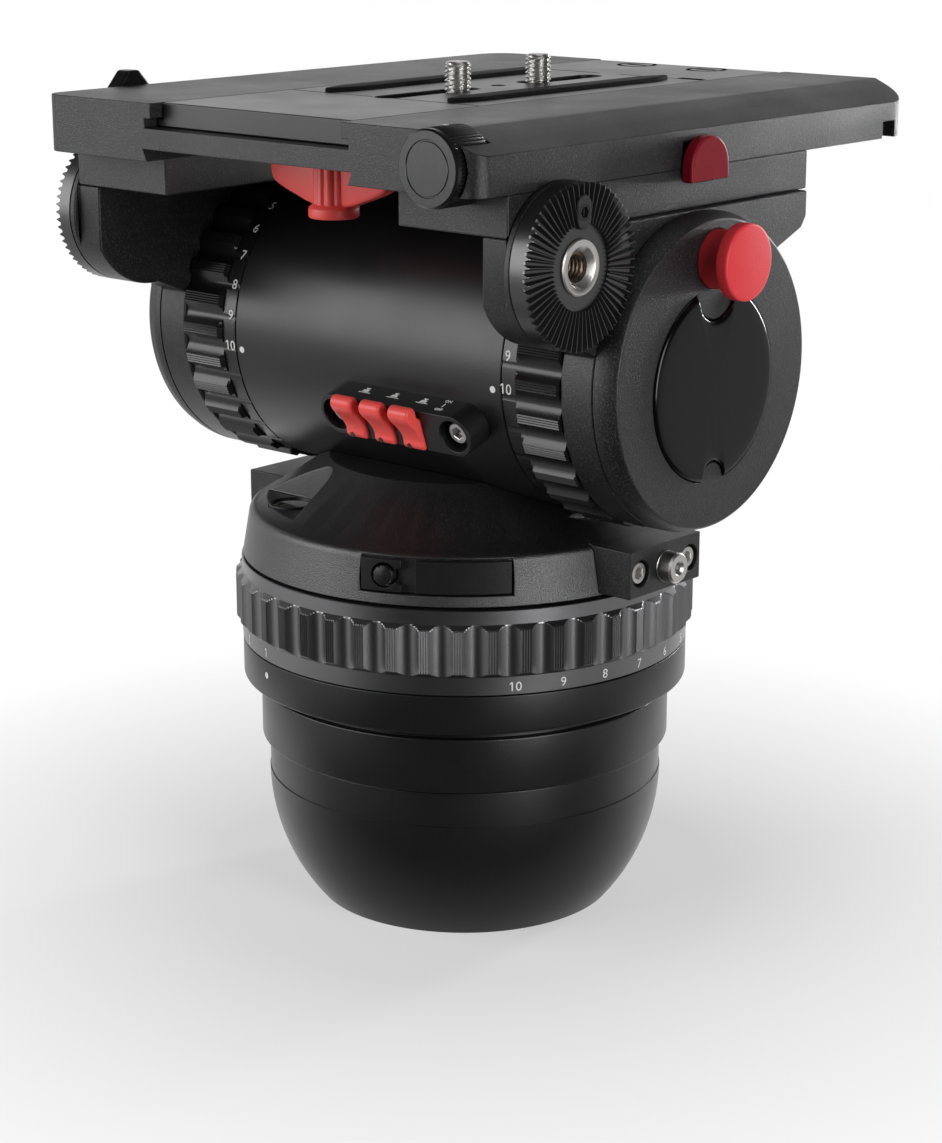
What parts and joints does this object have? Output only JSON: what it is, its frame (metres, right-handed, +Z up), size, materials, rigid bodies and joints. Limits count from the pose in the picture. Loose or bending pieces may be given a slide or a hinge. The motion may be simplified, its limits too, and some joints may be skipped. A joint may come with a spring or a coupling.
{
  "type": "fluid video head",
  "caption": "Pan and tilt fluid head for a 150 mm bowl: half-ball base, ribbed drag dials, tilt tube, rosettes for pan bars and a sliding camera plate.",
  "frame": {"origin": "centre of the half-ball's flat foot, on the pan axis", "axes": "+X along the tilt axis to the operator's right, -Y towards the operator, +Z up the pan axis"},
  "size_m": [0.2391, 0.2481, 0.3106],
  "materials": {
    "black_cast": "fine textured black paint",
    "black_satin": "satin black anodised",
    "black_ring": "smooth black anodised",
    "steel": "turned steel",
    "drag_alloy": "machined",
    "black_plastic": "fine matt",
    "red_plastic": "satin moulded",
    "dark_red": "glossy, deep red",
    "rubber": "matt rubber",
    "gloss_black": "polished dome",
    "level_glass": "clear vial with tinted fluid"
  },
  "bodies": {
    "base": {"bowl_base": "black_satin", "index_collar": "black_satin", "tie_down_insert": "steel", "pan_spindle": "steel", "pan_drag_stator": "drag_alloy"},
    "pan_ring": {"pan_drag_ring": "black_ring"},
    "pan_body": {"pan_housing": "black_cast", "pan_bearings": "steel", "pan_drag_rotor": "steel", "bubble_vial": "level_glass", "bubble_bezel": "black_plastic", "left_brake_block": "black_cast", "right_brake_block": "black_cast", "block_screws": "steel", "brake_studs": "steel", "light_switch_plate": "black_plastic", "coin_cell": "steel", "tilt_tube": "black_satin", "tilt_bearings": "steel", "fluid_drag_cartridge": "drag_alloy", "counterbalance_spring_pack": "drag_alloy", "lever_housing": "black_plastic", "housing_screws": "steel", "lever_pin": "steel"},
    "light_button": {"light_button": "black_plastic"},
    "battery_cover": {"battery_cover": "black_plastic"},
    "tilt_ring": {"tilt_drag_ring": "black_ring"},
    "balance_ring": {"counterbalance_ring": "black_ring"},
    "lever_1": {"spring_lever_1": "red_plastic"},
    "lever_2": {"spring_lever_2": "red_plastic"},
    "lever_3": {"spring_lever_3": "red_plastic"},
    "tilt_body": {"tilt_axle": "steel", "left_arm": "black_cast", "right_arm": "black_cast", "left_end_cap": "black_cast", "right_end_cap": "black_cast", "badge_disc": "gloss_black", "left_rosette": "black_satin", "right_rosette": "black_satin", "rosette_inserts": "steel", "rosette_keys": "black_plastic", "key_screws": "steel", "left_slab": "black_cast", "right_slab": "black_cast", "slab_screws": "steel", "platform": "black_satin"},
    "brake_knob": {"tilt_brake_knob": "red_plastic"},
    "clamp_lever": {"clamp_lever": "black_plastic"},
    "latch": {"release_latch": "dark_red"},
    "thumbwheel": {"thumbwheel": "black_ring"},
    "wing": {"wing_lever": "red_plastic"},
    "plate": {"camera_plate": "black_satin", "plate_pads": "rubber"},
    "screw_near": {"camera_screw_near": "steel"},
    "screw_far": {"camera_screw_far": "steel"}
  },
  "joints": [
    {"name": "pan", "type": "hinge", "parent": "base", "child": "pan_body", "pos_m": [0, 0, 0.14], "axis": [0, 0, 1], "continuous": true},
    {"name": "pan_drag_dial", "type": "hinge", "parent": "base", "child": "pan_ring", "pos_m": [0, 0, 0.116], "axis": [0, 0, 1], "range_deg": [0, 108]},
    {"name": "tilt", "type": "hinge", "parent": "pan_body", "child": "tilt_body", "pos_m": [0, 0, 0.212], "axis": [1, 0, 0], "range_deg": [-70, 45]},
    {"name": "tilt_drag_dial", "type": "hinge", "parent": "pan_body", "child": "tilt_ring", "pos_m": [0.077, 0, 0.212], "axis": [1, 0, 0], "range_deg": [0, 108]},
    {"name": "counterbalance_dial", "type": "hinge", "parent": "pan_body", "child": "balance_ring", "pos_m": [-0.077, 0, 0.212], "axis": [1, 0, 0], "range_deg": [0, 108]},
    {"name": "spring_lever_1_flip", "type": "hinge", "parent": "pan_body", "child": "lever_1", "pos_m": [0.0024, -0.0576, 0.19375], "axis": [1, 0, 0], "range_deg": [0, 25]},
    {"name": "spring_lever_2_flip", "type": "hinge", "parent": "pan_body", "child": "lever_2", "pos_m": [0.016, -0.0576, 0.19375], "axis": [1, 0, 0], "range_deg": [0, 25]},
    {"name": "spring_lever_3_flip", "type": "hinge", "parent": "pan_body", "child": "lever_3", "pos_m": [0.0296, -0.0576, 0.19375], "axis": [1, 0, 0], "range_deg": [0, 25]},
    {"name": "light_button_press", "type": "slide", "parent": "pan_body", "child": "light_button", "axis": [-0.3665, 0.9304, 0], "range_m": [0, 0.001], "stiffness_N_per_m": 400, "springref_m": -0.001},
    {"name": "battery_cover_pull", "type": "slide", "parent": "pan_body", "child": "battery_cover", "axis": [0.6626, -0.749, 0], "range_m": [0, 0.012]},
    {"name": "tilt_brake_turn", "type": "hinge", "parent": "tilt_body", "child": "brake_knob", "pos_m": [0.118, 0, 0.2515], "axis": [1, 0, 0], "range_deg": [0, 90]},
    {"name": "plate_clamp_turn", "type": "hinge", "parent": "tilt_body", "child": "clamp_lever", "pos_m": [-0.105, -0.012, 0.2907], "axis": [1, 0, 0], "range_deg": [-75, 0]},
    {"name": "release_latch_slide", "type": "slide", "parent": "tilt_body", "child": "latch", "axis": [0, -1, 0], "range_m": [0, 0.0075], "stiffness_N_per_m": 60, "springref_m": -0.003},
    {"name": "thumbwheel_turn", "type": "hinge", "parent": "tilt_body", "child": "thumbwheel", "pos_m": [0.0837, -0.1, 0.2892], "axis": [0, 1, 0], "continuous": true},
    {"name": "wing_lever_turn", "type": "hinge", "parent": "tilt_body", "child": "wing", "pos_m": [-0.001, -0.066, 0.27], "axis": [0, 0, 1], "range_deg": [0, 90]},
    {"name": "plate_slide", "type": "slide", "parent": "tilt_body", "child": "plate", "axis": [0, 1, 0], "range_m": [-0.05, 0.05]},
    {"name": "camera_screw_near_turn", "type": "hinge", "parent": "plate", "child": "screw_near", "pos_m": [-0.001, -0.002, 0.3], "axis": [0, 0, 1], "continuous": true},
    {"name": "camera_screw_far_turn", "type": "hinge", "parent": "plate", "child": "screw_far", "pos_m": [-0.001, 0.0425, 0.3], "axis": [0, 0, 1], "continuous": true}
  ]
}
